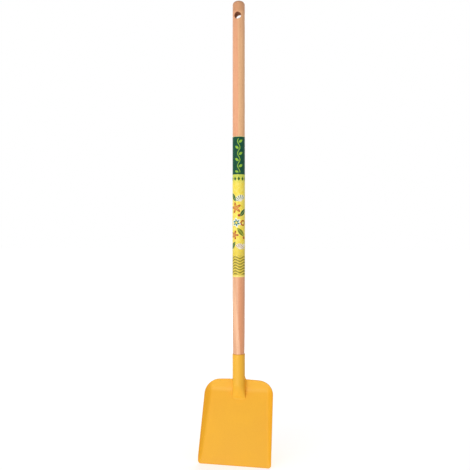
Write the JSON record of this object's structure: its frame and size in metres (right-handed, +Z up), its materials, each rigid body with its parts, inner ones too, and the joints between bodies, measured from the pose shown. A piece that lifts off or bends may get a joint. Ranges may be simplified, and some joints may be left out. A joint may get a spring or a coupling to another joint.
{
  "type": "child's sand shovel",
  "caption": "Long-handled child's sand shovel: flat pressed-metal pan with low side walls, welded tube socket, round wooden handle with a hang hole and a printed wrap.",
  "frame": {"origin": "centre of the hang hole, on the handle's axis", "axes": "+Z up the handle towards its rounded end, -Y out of the pan's open face, +X to the right seen from that face"},
  "size_m": [0.1192, 0.0502, 0.7489],
  "materials": {
    "yellow_coat": "satin powder coat",
    "beech": "clear satin varnish",
    "zinc": "zinc plated",
    "film": "printed film, satin"
  },
  "bodies": {
    "root": {"blade": "yellow_coat", "socket": "yellow_coat", "weld_left": "yellow_coat", "weld_right": "yellow_coat", "handle": "beech", "socket_screw": "zinc", "wrap": "film"}
  },
  "joints": []
}
